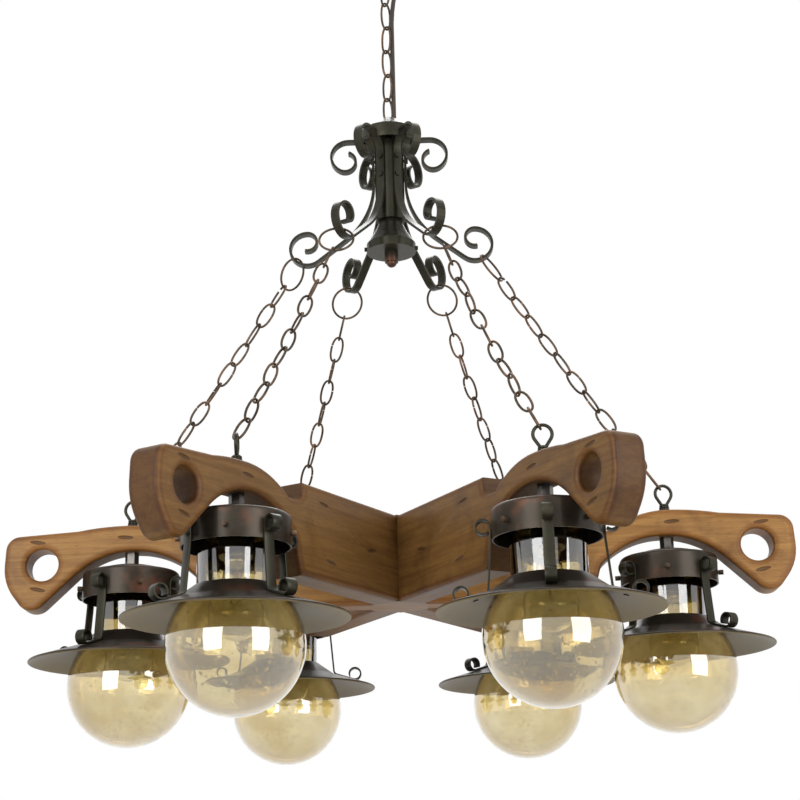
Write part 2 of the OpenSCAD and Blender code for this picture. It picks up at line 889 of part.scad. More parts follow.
// Lamp holder with the threaded tube that hangs the lamp on its stem, and the nut under the cap
module lamp_socket(i) {
    holder_top = lamp_h - lampcap_wall - gap - lock_nut_h;
    holder_low = holder_top - socket_len;
    color("black")
        at_lamp(i)
            difference() {
                union() {
                    rod(nipple_d, holder_top - over, lamp_h + nipple_in);
                    hex_rod(lock_nut_af, holder_top - over, holder_top + lock_nut_h);
                    rod(2 * socket_r, holder_low, holder_top);
                }
                rod(2 * base_r + 2 * gap, holder_low - over, bulb_base_top + gap);
                rod(nipple_d / 2, bulb_base_top, lamp_h + nipple_in + over);
            }
}

module lamp_bulb(i) {
    bulb_r = bulb_d / 2;
    bulb_mid = bulb_low + bulb_r;
    neck_a = 28;
    color("white")
        at_lamp(i)
            rotate_extrude()
                polygon(concat(
                    [[0, bulb_low]],
                    arc_points(0, bulb_mid, bulb_r, -80, neck_a, 12),
                    [[base_r + 1, bulb_neck_z], [base_r, bulb_neck_z + 3], [base_r, bulb_base_top - 4]],
                    [[base_r / 2, bulb_base_top], [0, bulb_base_top]]
                ));
}

// Half outline of the globe, drawn in by the thickness of its glass
module globe_outline(wall, top) {
    intersection() {
        union() {
            circle(r = globe_r - wall);
            square([neck_r - wall, top]);
        }
        translate([0, -globe_d])
            square([globe_d, 3 * globe_d]);
    }
}

module glass_globe(i) {
    color(amber)
        at_lamp(i)
            rotate_extrude()
                difference() {
                    union() {
                        globe_outline(0, neck_top);
                        translate([0, neck_top - glass_t])
                            square([neck_r + lip_out, glass_t]);
                    }
                    globe_outline(glass_t, neck_top + over);
                }
}

module lamp_shade(i) {
    up = shade_t / cos(brim_slope);
    steep = atan((shade_top_z - shade_knee_z) / (shade_knee_r - shade_hole_r));
    up_steep = shade_t / cos(steep);
    color(bronze)
        at_lamp(i)
            difference() {
                rotate_extrude()
                    polygon([
                        [shade_hole_r, shade_top_z],
                        [shade_knee_r, shade_knee_z],
                        [brim_r, brim_z],
                        [brim_r, brim_z - up],
                        [shade_knee_r - shade_t * tan((steep - brim_slope) / 2), shade_knee_z - up],
                        [shade_hole_r, shade_top_z - up_steep]
                    ]);
                around(lamp_straps)
                    translate([rivet_r, 0, shade_knee_z - (rivet_r - shade_knee_r) * tan(brim_slope)])
                        rotate([0, brim_slope, 0])
                            rod(rivet_d + 2 * fit, -shade_t - over, over);
            }
}

// ---------- the pieces, one node at a time ----------

ceiling_plate();
ceiling_canopy();
canopy_nuts();
terminal_block();
supply_cable();
top_link();
ceiling_chain();
hub_cap();
hub_eye_bolt();
hub_column();
hub_cup();
hub_finial();
hub_scroll_straps();
hub_screws();
suspension_chains();
arm_eye_bolts();
lamp_stems();
wheel_core();
for (i = [1 : arms]) {
    wheel_arm(i);
    lamp_cap(i);
    lamp_ironwork(i);
    lamp_socket(i);
    lamp_bulb(i);
    glass_globe(i);
    lamp_shade(i);
}
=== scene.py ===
import math

import bmesh
import bpy
from mathutils import Matrix, Vector


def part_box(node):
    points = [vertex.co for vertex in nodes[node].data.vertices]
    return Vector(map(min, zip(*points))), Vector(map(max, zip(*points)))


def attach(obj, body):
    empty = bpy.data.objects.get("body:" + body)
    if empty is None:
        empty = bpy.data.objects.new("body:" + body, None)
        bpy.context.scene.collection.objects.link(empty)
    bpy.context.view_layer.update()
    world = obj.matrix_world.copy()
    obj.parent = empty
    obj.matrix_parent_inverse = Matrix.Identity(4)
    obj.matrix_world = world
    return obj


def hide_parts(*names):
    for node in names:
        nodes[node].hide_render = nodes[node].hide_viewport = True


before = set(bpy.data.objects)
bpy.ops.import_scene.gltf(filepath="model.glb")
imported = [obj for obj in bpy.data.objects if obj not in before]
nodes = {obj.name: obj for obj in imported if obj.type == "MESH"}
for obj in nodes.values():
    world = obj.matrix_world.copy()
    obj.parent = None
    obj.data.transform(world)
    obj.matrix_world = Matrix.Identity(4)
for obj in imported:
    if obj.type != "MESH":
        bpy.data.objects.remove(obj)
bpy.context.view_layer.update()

MM = 0.001

# ---------- sizes that repeat the part's own, in millimetres ----------
ARMS = 6
ARM_STEP = 60
LAMP_REACH = 335
WIRE = 3.0
LAMP_TURNS = [-54, -53, 1, -24, -49, -93]
GLOBE_R = 75
NECK_R = 42
GLASS_T = 2.5
EYE_R, EYE_WIRE = 10.5, 4.0
# from the top of the hub's cap down to the bottoms of the scrolls, where the rings hang
SCROLL_DROP = 185.8

# heights of the globes' middles, the wheel's underside, the eyes' middles and the scrolls
lamp_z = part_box("glass_globe_1")[0].z / MM + GLOBE_R
wheel_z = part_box("wheel_core")[0].z / MM
eye_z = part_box("arm_eye_bolts")[1].z / MM - EYE_R - EYE_WIRE / 2
scroll_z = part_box("hub_cap")[1].z / MM - SCROLL_DROP


# ---------- camera ----------
# fitted to the arms, lamps and hub in the photograph
CAMERA_YAW, CAMERA_PITCH, CAMERA_ROLL = -1.224, 17.356, -1.427
CAMERA_X, CAMERA_Y, CAMERA_BELOW_LAMPS = 49.7, -2017.1, 273.84
CAMERA_LENS = 73.84


def place_camera():
    """The photograph's own view: from the front and below, looking up at the wheel."""
    yaw, pitch, roll = (math.radians(a) for a in (CAMERA_YAW, CAMERA_PITCH, CAMERA_ROLL))
    forward = Vector((math.sin(yaw) * math.cos(pitch), math.cos(yaw) * math.cos(pitch), math.sin(pitch)))
    right = Vector((math.cos(yaw), -math.sin(yaw), 0))
    up = right.cross(forward)
    level_right = math.cos(roll) * right + math.sin(roll) * up
    level_up = -math.sin(roll) * right + math.cos(roll) * up
    turn = Matrix((level_right, level_up, -forward)).transposed()
    bpy.ops.object.camera_add(location=Vector((CAMERA_X, CAMERA_Y, lamp_z - CAMERA_BELOW_LAMPS)) * MM)
    camera = bpy.context.object
    camera.name = "photo_camera"
    camera.rotation_euler = turn.to_euler()
    camera.data.sensor_width = 36
    camera.data.lens = CAMERA_LENS
    camera.data.clip_end = 100
    bpy.context.scene.camera = camera
    bpy.context.scene.view_settings.view_transform = "Standard"


# ---------- small helpers ----------
# points nearer than this are one point
MERGE = 0.005 * MM


def linear(hex_colour):
    """sRGB hex, such as #A07040, to Blender's linear RGBA."""
    values = [int(hex_colour[i:i + 2], 16) / 255 for i in (1, 3, 5)]
    return [v / 12.92 if v <= 0.04045 else ((v + 0.055) / 1.055) ** 2.4 for v in values] + [1.0]


def add_node(tree, kind, settings=None, links=None):
    """Adds one node, sets its values or sockets by name, and links its inputs."""
    node = tree.nodes.new(kind)
    for name, value in (settings or {}).items():
        if hasattr(node, str(name)):
            setattr(node, name, value)
        else:
            node.inputs[name].default_value = value
    for name, socket in (links or {}).items():
        tree.links.new(socket, node.inputs[name])
    return node


def new_material(name):
    """An empty node material with its output, ready for a shader."""
    material = bpy.data.materials.new(name)
    material.use_nodes = True
    tree = material.node_tree
    tree.nodes.clear()
    out = add_node(tree, "ShaderNodeOutputMaterial")
    place = add_node(tree, "ShaderNodeTexCoord").outputs["Object"]
    return material, tree, out, place


def colour_steps(tree, source, steps, tone=1.0):
    """A colour ramp with [position, hex colour] steps, made lighter or darker by a tone."""
    ramp = add_node(tree, "ShaderNodeValToRGB", links={"Fac": source})
    elements = ramp.color_ramp.elements
    while len(elements) < len(steps):
        elements.new(0.5)
    for element, (position, colour) in zip(elements, steps):
        element.position = position
        element.color = [min(1.0, v * tone) for v in linear(colour)[:3]] + [1.0]
    return ramp.outputs["Color"]


def deselect():
    bpy.ops.object.select_all(action="DESELECT")


def only(piece):
    """Makes one piece the only selected and active one."""
    deselect()
    piece.select_set(True)
    bpy.context.view_layer.objects.active = piece
    return piece


def edit_all(piece):
    """Opens a piece in edit mode with everything selected."""
    only(piece)
    bpy.ops.object.mode_set(mode="EDIT")
    bpy.ops.mesh.select_all(action="SELECT")


def leave_edit():
    bpy.ops.object.mode_set(mode="OBJECT")


def smooth(piece, angle=35):
    only(piece)
    bpy.ops.object.shade_smooth_by_angle(angle=math.radians(angle))


def settle(piece):
    """Puts the piece's place, turn and scale into its mesh."""
    only(piece)
    bpy.ops.object.transform_apply(location=True, rotation=True, scale=True)


def placed_copy(piece, name, location=(0, 0, 0), rotation=(0, 0, 0)):
    """A copy with its own mesh, turned and then moved, with its place in its mesh."""
    only(piece)
    bpy.ops.object.duplicate(linked=False)
    copy = bpy.context.object
    copy.name = name
    copy.rotation_euler = rotation
    copy.location = location
    settle(copy)
    return copy


def joined(pieces, name):
    """Several pieces made into one."""
    deselect()
    for piece in pieces:
        piece.select_set(True)
    bpy.context.view_layer.objects.active = pieces[0]
    bpy.ops.object.join()
    piece = bpy.context.object
    piece.name = name
    return piece


def discard(piece):
    bpy.data.objects.remove(piece, do_unlink=True)


def arc(cx, cy, r, start, end, steps):
    """Points along an arc, in millimetres."""
    angles = [math.radians(start + (end - start) * k / steps) for k in range(steps + 1)]
    return [(cx + r * math.cos(a), cy + r * math.sin(a)) for a in angles]


def traced(name, points):
    """A mesh line drawn from point to point in the XZ plane, by extruding one vertex."""
    deselect()
    first = Vector((points[0][0], 0, points[0][1])) * MM
    bpy.ops.mesh.primitive_plane_add(size=1 * MM, location=first)
    piece = bpy.context.object
    piece.name = name
    settle(piece)
    edit_all(piece)
    bpy.ops.mesh.merge(type="CENTER")
    for a, b in zip(points, points[1:]):
        step = Vector((b[0] - a[0], 0, b[1] - a[1])) * MM
        bpy.ops.mesh.extrude_region_move(TRANSFORM_OT_translate={"value": step})
    return piece


def turned(name, profile, steps=72, closed=True):
    """A piece turned on the lathe: its profile of [radius, height] spun about Z."""
    piece = traced(name, profile)
    bpy.ops.mesh.select_all(action="SELECT")
    bpy.ops.mesh.spin(steps=steps, angle=2 * math.pi, center=(0, 0, 0), axis=(0, 0, 1))
    bpy.ops.mesh.select_all(action="SELECT")
    bpy.ops.mesh.remove_doubles(threshold=MERGE)
    if closed:
        bpy.ops.mesh.normals_make_consistent(inside=False)
    leave_edit()
    return piece


def wire_piece(name, points, diameter, round_steps=3):
    """Round wire through points in millimetres, with closed ends, made a mesh."""
    deselect()
    bpy.ops.curve.primitive_nurbs_path_add(location=(0, 0, 0))
    wire = bpy.context.object
    wire.name = name
    wire.data.splines.clear()
    spline = wire.data.splines.new("POLY")
    spline.points.add(len(points) - 1)
    for point, place in zip(spline.points, points):
        point.co = (place[0] * MM, place[1] * MM, place[2] * MM, 1)
    wire.data.bevel_depth = diameter / 2 * MM
    wire.data.bevel_resolution = round_steps
    wire.data.use_fill_caps = True
    bpy.ops.object.convert(target="MESH")
    wire = bpy.context.object
    edit_all(wire)
    bpy.ops.mesh.remove_doubles(threshold=MERGE)
    leave_edit()
    smooth(wire, 50)
    return wire


def moved_copy(piece, name, matrix):
    """A copy with its own mesh, placed by a matrix that goes into its mesh."""
    copy = placed_copy(piece, name)
    copy.matrix_world = matrix
    settle(copy)
    return copy


def give(piece, *materials):
    """Sets a piece's material slots."""
    piece.data.materials.clear()
    for material in materials:
        piece.data.materials.append(material)
    return piece


def arm_place(i, reach, height):
    a = math.radians(i * ARM_STEP)
    return (reach * math.cos(a) * MM, reach * math.sin(a) * MM, height * MM)


# ---------- materials ----------
def stained_wood(number, turn, tone):
    """Stained and waxed pine: long soft grain, cloudy stain, dark lines where the wax sat."""
    material, tree, out, place = new_material(f"stained_wood_{number}")
    along = add_node(tree, "ShaderNodeMapping", {"Rotation": (0, 0, -math.radians(turn))},
                     {"Vector": place}).outputs["Vector"]
    shifted = add_node(tree, "ShaderNodeMapping", {"Location": (0.37 * number, 0.11 * number, 0.23 * number)},
                       {"Vector": along}).outputs["Vector"]
    # growth rings show as streaks about 6 mm apart and 150 mm long
    streak_place = add_node(tree, "ShaderNodeMapping", {"Scale": (7, 60, 150)},
                            {"Vector": shifted}).outputs["Vector"]
    streaks = add_node(tree, "ShaderNodeTexNoise",
                       {"Scale": 1.0, "Detail": 5, "Roughness": 0.6, "Distortion": 0.6},
                       {"Vector": streak_place}).outputs["Fac"]
    # fine pores, about 1 mm across and 12 mm long
    pore_place = add_node(tree, "ShaderNodeMapping", {"Scale": (80, 900, 900)},
                          {"Vector": shifted}).outputs["Vector"]
    pores = add_node(tree, "ShaderNodeTexNoise", {"Scale": 1.0, "Detail": 2, "Roughness": 0.5},
                     {"Vector": pore_place}).outputs["Fac"]
    # the stain took unevenly, in clouds about 90 mm across
    clouds = add_node(tree, "ShaderNodeTexNoise",
                      {"Scale": 11, "Detail": 5, "Roughness": 0.6, "Distortion": 0.5},
                      {"Vector": shifted}).outputs["Fac"]
    # the tone makes the whole stain lighter or darker; on the arms it is painted light and shade
    base = colour_steps(tree, streaks, [(0.30, "#755127"), (0.48, "#835E31"),
                                        (0.62, "#8F6937"), (0.75, "#7B5529")], tone)
    cloud_dark = colour_steps(tree, clouds, [(0.30, "#7A5C3C"), (0.52, "#FFFFFF")])
    stained = add_node(tree, "ShaderNodeMix", {"data_type": "RGBA", "blend_type": "MULTIPLY", 0: 0.65},
                       {6: base, 7: cloud_dark}).outputs[2]
    pore_dark = colour_steps(tree, pores, [(0.34, "#6A4A2A"), (0.45, "#FFFFFF")])
    grained = add_node(tree, "ShaderNodeMix", {"data_type": "RGBA", "blend_type": "MULTIPLY", 0: 0.25},
                       {6: stained, 7: pore_dark}).outputs[2]
    # hands and cloths darken the rounded edges
    edge = add_node(tree, "ShaderNodeAttribute", {"attribute_name": "edge"}).outputs["Fac"]
    edge_colour = add_node(tree, "ShaderNodeMix", {"data_type": "RGBA", "blend_type": "MULTIPLY", 0: 1.0,
                                                   7: linear("#E3D2BC")}, {6: grained}).outputs[2]
    coloured = add_node(tree, "ShaderNodeMix", {"data_type": "RGBA"},
                        {0: edge, 6: grained, 7: edge_colour}).outputs[2]
    # end grain soaks up more stain
    end_grain = add_node(tree, "ShaderNodeAttribute", {"attribute_name": "end_grain"}).outputs["Fac"]
    soaked = add_node(tree, "ShaderNodeMix", {"data_type": "RGBA", "blend_type": "MULTIPLY",
                                              7: linear("#BDB0A2")},
                      {0: end_grain, 6: coloured}).outputs[2]
    # dark wax lies in the gouges
    hollow = add_node(tree, "ShaderNodeAttribute", {"attribute_name": "hollow"}).outputs["Fac"]
    gouge_colour = add_node(tree, "ShaderNodeMix", {"data_type": "RGBA", 7: linear("#4F3820")},
                            {0: hollow, 6: soaked}).outputs[2]
    bump = add_node(tree, "ShaderNodeBump", {"Strength": 0.25, "Distance": 0.0004}, {"Height": streaks})
    fine = add_node(tree, "ShaderNodeBump", {"Strength": 0.2, "Distance": 0.0002},
                    {"Height": pores, "Normal": bump.outputs["Normal"]})
    gloss = add_node(tree, "ShaderNodeMapRange",
                     {"From Min": 0.3, "From Max": 0.7, "To Min": 0.42, "To Max": 0.56},
                     {"Value": clouds}).outputs["Result"]
    shader = add_node(tree, "ShaderNodeBsdfPrincipled", {"Specular IOR Level": 0.3, "Coat Weight": 0.05,
                                                          "Coat Roughness": 0.35},
                      {"Base Color": gouge_colour, "Roughness": gloss, "Normal": fine.outputs["Normal"]})
    tree.links.new(shader.outputs[0], out.inputs["Surface"])
    return material


def lacquered_metal(name, dark, middle, rubbed, rub_from, roughness, metallic, pattern_mm=9.0):
    """Lacquer sprayed on steel: an even dark coat, slightly uneven sheen, warm where it has rubbed thin."""
    material, tree, out, place = new_material(name)
    # pattern_mm is the fine detail, and the patches are four times as wide
    mottle = add_node(tree, "ShaderNodeTexNoise",
                      {"Scale": 1000 / pattern_mm / 4, "Detail": 5, "Roughness": 0.6},
                      {"Vector": place}).outputs["Fac"]
    grit = add_node(tree, "ShaderNodeTexNoise", {"Scale": 900, "Detail": 2}, {"Vector": place}).outputs["Fac"]
    coat = colour_steps(tree, mottle, [(0.35, dark), (rub_from, middle), (rub_from + 0.14, rubbed)])
    sheen = add_node(tree, "ShaderNodeMapRange", {"From Min": 0.3, "From Max": 0.7,
                                                  "To Min": roughness - 0.05, "To Max": roughness + 0.07},
                     {"Value": mottle}).outputs["Result"]
    # sprayed lacquer has a faint orange-peel of about 1 mm
    bump = add_node(tree, "ShaderNodeBump", {"Strength": 0.12, "Distance": 0.0002}, {"Height": grit})
    shader = add_node(tree, "ShaderNodeBsdfPrincipled", {"Metallic": metallic, "Specular IOR Level": 0.3},
                      {"Base Color": coat, "Roughness": sheen, "Normal": bump.outputs["Normal"]})
    tree.links.new(shader.outputs[0], out.inputs["Surface"])
    return material


def moulded(name, colour, shade, roughness):
    """Moulded plastic: one colour with a hardly visible change, and a fine moulded grain."""
    material, tree, out, place = new_material(name)
    mottle = add_node(tree, "ShaderNodeTexNoise", {"Scale": 60, "Detail": 3},
                      {"Vector": place}).outputs["Fac"]
    coat = colour_steps(tree, mottle, [(0.35, shade), (0.65, colour)])
    grain = add_node(tree, "ShaderNodeTexNoise", {"Scale": 1500, "Detail": 1},
                     {"Vector": place}).outputs["Fac"]
    bump = add_node(tree, "ShaderNodeBump", {"Strength": 0.1, "Distance": 0.0001}, {"Height": grain})
    shader = add_node(tree, "ShaderNodeBsdfPrincipled", {"IOR": 1.5, "Roughness": roughness},
                      {"Base Color": coat, "Normal": bump.outputs["Normal"]})
    tree.links.new(shader.outputs[0], out.inputs["Surface"])
    return material


def seeded_glass(name, pale, deep):
    """Blown amber soda-lime glass: clear, with colour that drifts a little and seeds of 2 to 4 mm."""
    material, tree, out, place = new_material(name)
    drift = add_node(tree, "ShaderNodeTexNoise", {"Scale": 14, "Detail": 3}, {"Vector": place}).outputs["Fac"]
    drifting = colour_steps(tree, drift, [(0.35, deep), (0.62, pale)])
    # the wall is seen edge-on round the rim, through more of its colour
    rim = add_node(tree, "ShaderNodeLayerWeight", {"Blend": 0.5}).outputs["Facing"]
    rim_colour = colour_steps(tree, rim, [(0.45, "#FFFFFF"), (0.80, "#E2CC9C"), (0.97, "#A88A52")])
    tint = add_node(tree, "ShaderNodeMix", {"data_type": "RGBA", "blend_type": "MULTIPLY", 0: 1.0},
                    {6: drifting, 7: rim_colour}).outputs[2]
    # one seed in each cell of 8 mm, and only where the gather held them
    seeds = add_node(tree, "ShaderNodeTexVoronoi", {"Scale": 125, "Randomness": 1.0}, {"Vector": place})
    seed_shape = add_node(tree, "ShaderNodeMapRange",
                          {"From Min": 0.0, "From Max": 0.22, "To Min": 1.0, "To Max": 0.0},
                          {"Value": seeds.outputs["Distance"]}).outputs["Result"]
    some = add_node(tree, "ShaderNodeTexNoise", {"Scale": 22, "Detail": 2}, {"Vector": place}).outputs["Fac"]
    where = add_node(tree, "ShaderNodeMapRange", {"From Min": 0.48, "From Max": 0.60},
                     {"Value": some}).outputs["Result"]
    height = add_node(tree, "ShaderNodeMath", {"operation": "MULTIPLY"}, {0: seed_shape, 1: where}).outputs[0]
    # each seed shows as a small dark ring
    ring = colour_steps(tree, seeds.outputs["Distance"],
                        [(0.09, "#FFFFFF"), (0.17, "#D8CBA6"), (0.25, "#FFFFFF")])
    tint = add_node(tree, "ShaderNodeMix", {"data_type": "RGBA", "blend_type": "MULTIPLY"},
                    {0: where, 6: tint, 7: ring}).outputs[2]
    # the wall is wavy over about 30 mm
    waves = add_node(tree, "ShaderNodeTexNoise", {"Scale": 30, "Detail": 2}, {"Vector": place}).outputs["Fac"]
    wavy = add_node(tree, "ShaderNodeBump", {"Strength": 0.12, "Distance": 0.002}, {"Height": waves})
    bump = add_node(tree, "ShaderNodeBump", {"Strength": 0.4, "Distance": 0.0006},
                    {"Height": height, "Normal": wavy.outputs["Normal"]})
    # the coat stands for the second reflection, from the inside of the wall
    shader = add_node(tree, "ShaderNodeBsdfPrincipled",
                      {"IOR": 1.52, "Roughness": 0.02, "Transmission Weight": 1.0,
                       "Coat Weight": 1.0, "Coat IOR": 2.0, "Coat Roughness": 0.02},
                      {"Base Color": tint, "Normal": bump.outputs["Normal"]})
    tree.links.new(shader.outputs[0], out.inputs["Surface"])
    return material


def clear_glass():
    """Thin clear bulb glass, faintly grey in soft drifting patches."""
    material, tree, out, place = new_material("clear_bulb_glass")
    drift = add_node(tree, "ShaderNodeTexNoise", {"Scale": 20, "Detail": 1}, {"Vector": place}).outputs["Fac"]
    tint = colour_steps(tree, drift, [(0.3, "#F2F0E6"), (0.7, "#FBFAF4")])
    shader = add_node(tree, "ShaderNodeBsdfPrincipled",
                      {"IOR": 1.45, "Roughness": 0.01, "Transmission Weight": 1.0}, {"Base Color": tint})
    tree.links.new(shader.outputs[0], out.inputs["Surface"])
    return material


# sprayed lacquer on spun sheet steel; dark bronze, rubbed through to a reddish copper tone
dark_bronze = lacquered_metal("dark_bronze_lacquer", "#2E2922", "#3D352C", "#63402F", rub_from=0.56,
                              roughness=0.31, metallic=0.5, pattern_mm=14.0)
# the same lacquer, blacker and slightly green, on bent strip and turned steel
black_iron = lacquered_metal("olive_black_lacquer", "#29271D", "#353326", "#4D4230", rub_from=0.60,
                             roughness=0.34, metallic=0.45)
# welded wire chain with a thin copper-brown lacquer, worn where the links rub
copper_brown = lacquered_metal("copper_brown_wire", "#392E23", "#564635", "#7A5A44", rub_from=0.52,
                               roughness=0.38, metallic=0.5, pattern_mm=6.0)
# drawn hexagon steel, plain and a little dull
grey_steel = lacquered_metal("grey_hexagon_steel", "#3A3835", "#5C5955", "#7A7671", rub_from=0.50,
                             roughness=0.30, metallic=0.9, pattern_mm=6.0)
# the underside of the shades was sprayed a pale olive grey
shade_inside = lacquered_metal("olive_grey_lacquer", "#5C4F32", "#6A5B39", "#76663F", rub_from=0.55,
                               roughness=0.42, metallic=0.0, pattern_mm=20.0)
# moulded PVC on the cable, urea on the terminal block and phenolic on the lamp holders
cable_sheath = moulded("brown_cable_sheath", "#3A3026", "#2C241D", roughness=0.5)
ivory_plastic = moulded("ivory_terminal_plastic", "#E3DDC8", "#D6CFB8", roughness=0.45)
black_plastic = moulded("black_lampholder_plastic", "#1B1A19", "#121212", roughness=0.35)
# nickel-plated brass and drawn tungsten, bare metal with the same slightly uneven sheen
nickel_cap = lacquered_metal("nickel_bulb_cap", "#A9A59C", "#BDB8AE", "#CFCAC0", rub_from=0.5,
                             roughness=0.28, metallic=1.0, pattern_mm=5.0)
filament_wire = lacquered_metal("tungsten_filament", "#8D857A", "#9B9388", "#B0A898", rub_from=0.5,
                                roughness=0.4, metallic=1.0, pattern_mm=1.0)
amber_glass = seeded_glass("seeded_amber_glass", "#F2E8C6", "#DFCC90")
bulb_glass = clear_glass()

place_camera()

# ---------- the CAD nodes that keep their shape ----------
for name in ("ceiling_plate", "ceiling_canopy", "canopy_nuts", "hub_finial"):
    give(nodes[name], dark_bronze)
for name in ("hub_cap", "hub_eye_bolt", "hub_column", "hub_scroll_straps", "hub_cup", "hub_screws"):
    give(nodes[name], black_iron)
give(nodes["terminal_block"], ivory_plastic)
give(nodes["supply_cable"], cable_sheath)
give(nodes["lamp_stems"], grey_steel)
give(nodes["wheel_core"], stained_wood(0, turn=0, tone=0.9))
for i in range(ARMS):
    give(nodes[f"lamp_cap_{i + 1}"], dark_bronze)
    give(nodes[f"lamp_socket_{i + 1}"], black_plastic)


# ---------- chains ----------
# lengths and widths of the links run between the middles of their wire
LINK_L, LINK_W = 34.7, 15.0
CEILING_LINK_L, CEILING_LINK_W, CEILING_PITCH = 40.1, 16.0, 36.8
CEILING_LINKS = 6
RING_R = 21.5
# how far down its chain's line each ring and first link hangs
RING_S, FIRST_LINK_S = 18.0, 57.7
CHAIN_LINKS = 11
SCROLL_REACH = 111
# between two pieces that touch
CONTACT = 0.3
LINK_OVAL, ROUND = 0.87, 1.0
LINK_STEPS = 48
# turns in degrees, read off the photograph chain by chain
EYE_TURNS = [12, 40, 20, -14, 31, 58]
RING_ROLLS = [64, 96, 88, 64, 116, 64]
LINK_ROLLS = [128, 28, 155, 128, 50, 134]
LINK_TWISTS = [-5, -7, -3, -20.5, 4.5, -18]
# how far the middle of each chain hangs below a straight line
CHAIN_SAGS = [3, 3, 3, 3, 4, 9]


def oval_link(name, long, wide, fullness, joint_at, joint_open):
    """A link bent from round wire, hanging from the origin, with its butt joint at an angle from +X."""
    points = []
    for k in range(LINK_STEPS + 1):
        a = math.radians(joint_at + joint_open / 2 + (360 - joint_open) * k / LINK_STEPS)
        x, z = math.cos(a), math.sin(a)
        points.append((math.copysign(abs(x) ** fullness, x) * wide / 2, 0,
                       math.copysign(abs(z) ** fullness, z) * long / 2 - long / 2))
    return wire_piece(name, points, WIRE)


def sagging(s, span, sag):
    """Place on a slack chain at a distance along it, and the lean of the chain there."""
    t = min(1, s / span)
    lean = math.atan(4 * sag * (1 - 2 * t) / span)
    return (Matrix.Translation((4 * sag * t * (1 - t) * MM, 0, -s * MM)) @ Matrix.Rotation(-lean, 4, "Y"))


def hang_chains():
    """The ceiling chain, the six chains and their rings, link by link on the part's own centres."""
    copper_link = oval_link("closed_link", LINK_L, LINK_W, LINK_OVAL, joint_at=12, joint_open=2.4)
    first_link = oval_link("first_link", LINK_L, LINK_W, LINK_OVAL, joint_at=28, joint_open=15)
    ring = oval_link("ring", 2 * RING_R, 2 * RING_R, ROUND, joint_at=90, joint_open=1.2)
    ceiling_link = oval_link("ceiling_link", CEILING_LINK_L, CEILING_LINK_W, LINK_OVAL,
                             joint_at=12, joint_open=2.4)
    top_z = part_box("top_link")[1].z - WIRE / 2 * MM
    hung = []
    for k in range(CEILING_LINKS):
        place = Matrix.Translation((0, 0, top_z - k * CEILING_PITCH * MM))
        turn = Matrix.Rotation(math.radians(-45 if k % 2 == 0 else 45), 4, "Z")
        hung.append(moved_copy(ceiling_link, f"ceiling_link_{k}", place @ turn))
    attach(hung[0], "top_link")
    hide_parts("top_link")
    ceiling = joined(hung[1:], "ceiling_chain_links")
    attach(ceiling, "frame")
    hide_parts("ceiling_chain")
    chains = [hung[0], ceiling]
    top = Vector((SCROLL_REACH, 0, scroll_z))
    for i in range(ARMS):
        a = math.radians(EYE_TURNS[i])
        inward, rise = (SCROLL_REACH - LAMP_REACH) * math.cos(a), scroll_z - eye_z
        pull = Vector((inward * math.cos(a), inward * math.sin(a), rise)) * EYE_R / math.hypot(inward, rise)
        up = top - (Vector((LAMP_REACH, 0, eye_z)) + pull)
        foot = up.length + (WIRE + EYE_WIRE) / 2 + CONTACT
        pitch = (foot - LINK_L - FIRST_LINK_S) / (CHAIN_LINKS - 1)
        run = (Matrix.Rotation(math.radians(i * ARM_STEP), 4, "Z") @ Matrix.Translation(top * MM)
               @ Matrix.Rotation(math.atan2(up.y, up.x), 4, "Z")
               @ Matrix.Rotation(math.acos(up.z / up.length), 4, "Y"))
        links = [(ring, RING_S, RING_ROLLS[i])]
        links += [(first_link if k == 0 else copper_link, FIRST_LINK_S + k * pitch,
                   LINK_ROLLS[i] + k * (90 + LINK_TWISTS[i])) for k in range(CHAIN_LINKS)]
        pieces = []
        for k, (link, s, roll) in enumerate(links):
            hang = sagging(s, up.length, CHAIN_SAGS[i]) @ Matrix.Rotation(math.radians(roll), 4, "Z")
            pieces.append(moved_copy(link, f"link_{i}_{k}", run @ hang))
        chain = joined(pieces, f"suspension_chain_{i + 1}")
        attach(chain, "frame")
        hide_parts("suspension_chains")
        chains.append(chain)
    for chain in chains:
        give(chain, copper_brown)
    for piece in (copper_link, first_link, ring, ceiling_link):
        discard(piece)


hang_chains()


# ---------- eye bolts on the arms ----------
BROW_H, EYE_RISE, ARCH_TOP = 110, 23.8, 77.3
EYE_FOOT = -19
ROD_R, ROD_PAST_ARCH = 5, 7
RIBS, RIB_PITCH, RIB_R, RIB_TAPER = 4, 2.4, 7.0, 0.35


def eye_bolt():
    """Pear-shaped eye on a ribbed collar and a threaded rod, standing at the origin above the arm."""
    tangent = math.degrees(math.acos(EYE_R / -EYE_FOOT))
    loop = [(x, 0, z) for x, z in arc(0, 0, EYE_R, -90 + tangent, 270 - tangent, 36)]
    loop = [(1.4, 0, EYE_FOOT + 2)] + loop + [(-1.4, 0, EYE_FOOT + 2)]
    eye = wire_piece("eye_loop", loop, EYE_WIRE, 4)
    top = -EYE_RISE
    rod_end = top - BROW_H + ARCH_TOP - ROD_PAST_ARCH
    profile = [(0, rod_end), (ROD_R, rod_end), (ROD_R, top), (6.4, top + 0.02)]
    for k in range(RIBS):
        z = top + RIB_PITCH * k
        r = RIB_R - RIB_TAPER * k
        profile += [(r, z + 0.5), (r, z + 1.6), (r - 1.2, z + 2.1)]
    profile += [(4.4, top + 10.2), (0, top + 10.4)]
    collar = turned("eye_collar", profile, 32)
    smooth(collar, 30)
    return joined([eye, collar], "eye_bolt")


